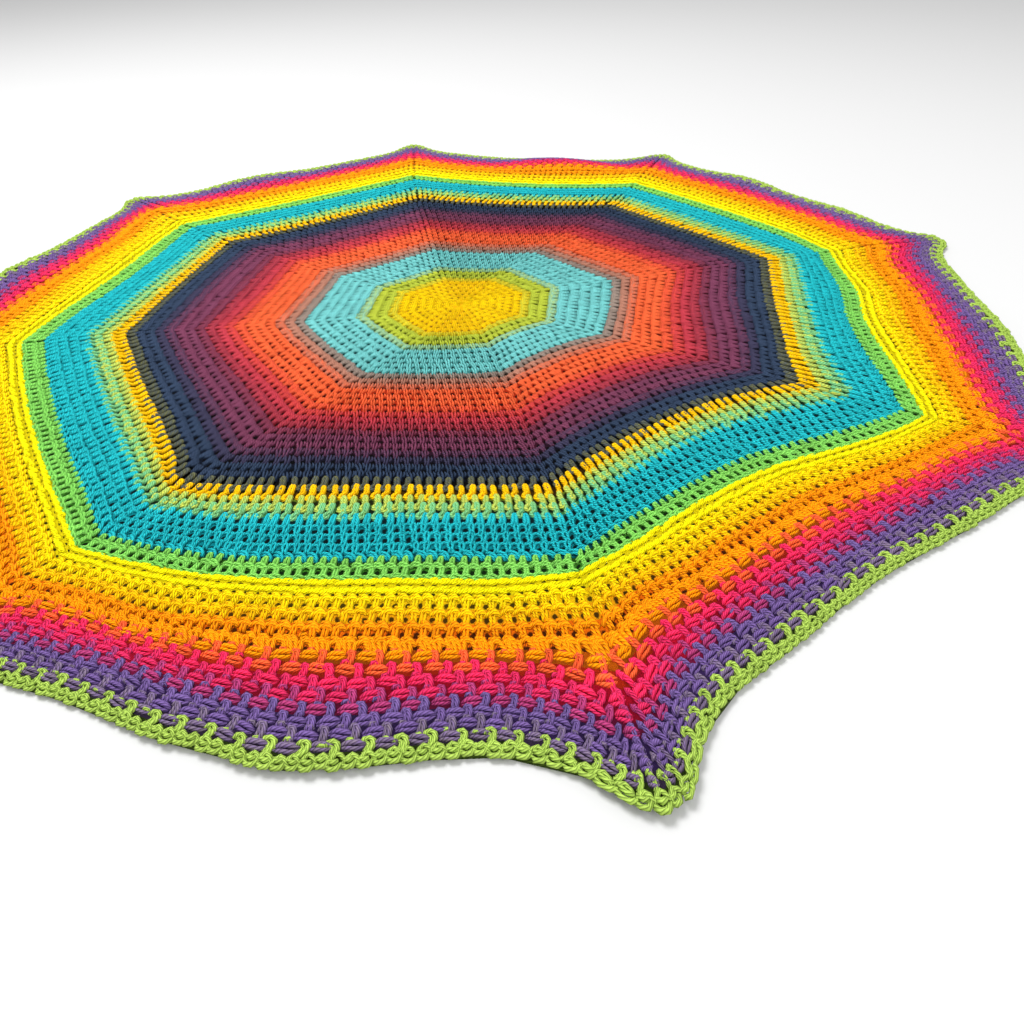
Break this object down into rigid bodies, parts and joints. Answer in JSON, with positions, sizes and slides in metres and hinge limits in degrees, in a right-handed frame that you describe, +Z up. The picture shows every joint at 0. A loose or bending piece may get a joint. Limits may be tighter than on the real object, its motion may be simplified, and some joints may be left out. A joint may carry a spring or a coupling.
{
  "type": "star crochet afghan",
  "caption": "Eight-pointed star afghan crocheted in rounds from its middle, lying spread flat with low folds at its edge.",
  "frame": {"origin": "on the surface that the afghan lies on, under the middle of its outline", "axes": "+Z up through the cloth, +X and +Y along the surface, with the front side towards -Y"},
  "size_m": [1.0854, 1.1294, 0.013],
  "materials": {
    "yarn": "matt plied yarn in bands of rainbow colours"
  },
  "bodies": {
    "root": {"afghan": "yarn"}
  },
  "joints": []
}
